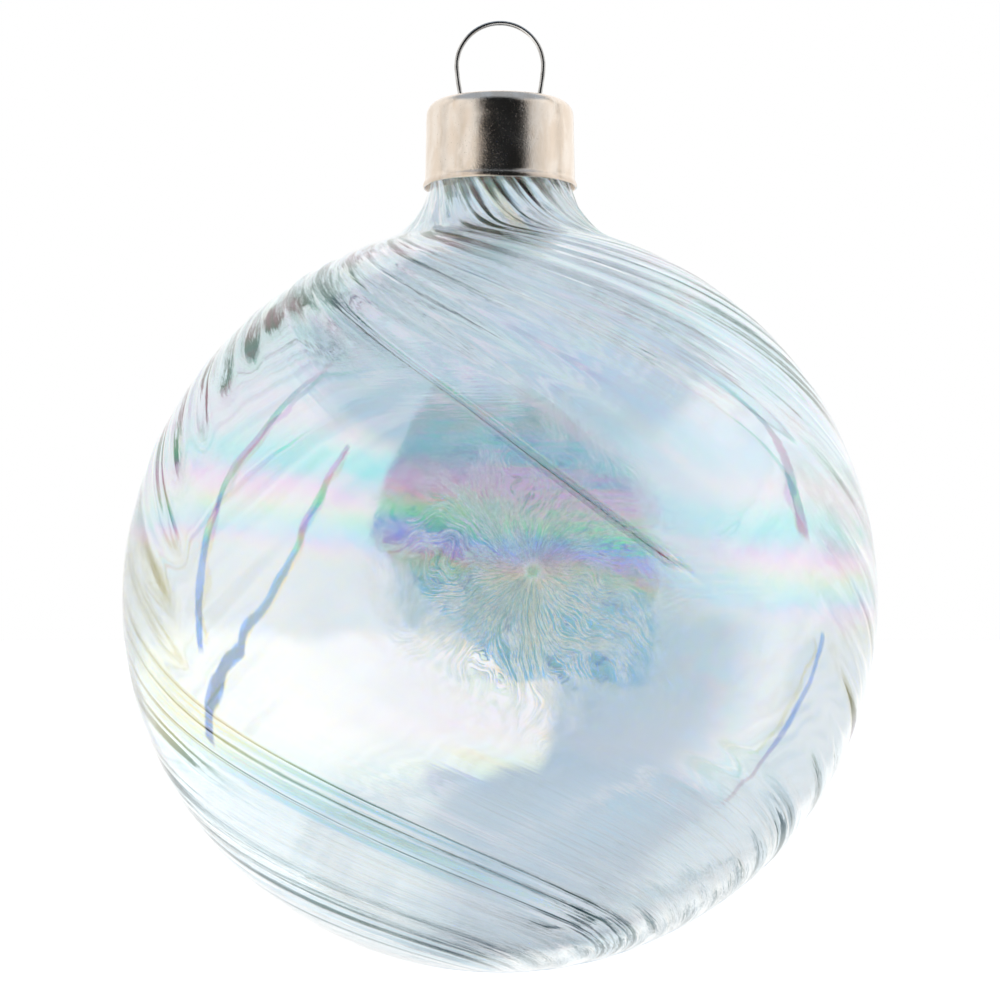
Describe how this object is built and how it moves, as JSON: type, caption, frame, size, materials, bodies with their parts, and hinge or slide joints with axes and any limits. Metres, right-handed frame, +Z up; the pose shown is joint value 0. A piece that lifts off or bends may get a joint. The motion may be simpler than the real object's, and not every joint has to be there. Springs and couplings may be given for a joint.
{
  "type": "glass ball ornament",
  "caption": "Hanging ornament: a clear blown glass ball with a short neck, closed by a pressed metal cap whose spring wire loop takes a hook or thread.",
  "frame": {"origin": "inside of the wire loop's crown, where a hook or thread bears", "axes": "+Z up along the hanging axis, the wire loop lies in the XZ plane, the front faces -Y"},
  "size_m": [0.08, 0.08, 0.1015],
  "materials": {
    "clear_glass": "clear blown glass with a thin iridescent film and twisted optic ribs",
    "cap_metal": "warm nickel plate, polished with a fine orange-peel grain",
    "spring_wire": "bright drawn spring wire"
  },
  "bodies": {
    "ball": {"glass_ball": "clear_glass"},
    "cap": {"cap": "cap_metal"},
    "hanger": {"hanger_loop": "spring_wire"},
    "leg_left": {"spring_leg_left": "spring_wire"},
    "leg_right": {"spring_leg_right": "spring_wire"}
  },
  "joints": [
    {"name": "cap_lift", "type": "slide", "parent": "ball", "child": "cap", "axis": [0, 0, 1], "range_m": [0, 0.025]},
    {"name": "hanger_swing", "type": "hinge", "parent": "cap", "child": "hanger", "pos_m": [0, 0, -0.00855], "axis": [1, 0, 0], "range_deg": [-10, 10]},
    {"name": "leg_left_pinch", "type": "hinge", "parent": "hanger", "child": "leg_left", "pos_m": [-0.00383, 0, -0.00935], "axis": [0, -1, 0], "range_deg": [0, 10]},
    {"name": "leg_right_pinch", "type": "hinge", "parent": "hanger", "child": "leg_right", "pos_m": [0.00383, 0, -0.00935], "axis": [0, 1, 0], "range_deg": [0, 10]}
  ],
  "couplings": [
    {"joint": "leg_right_pinch", "follows": "leg_left_pinch", "ratio": 1}
  ]
}
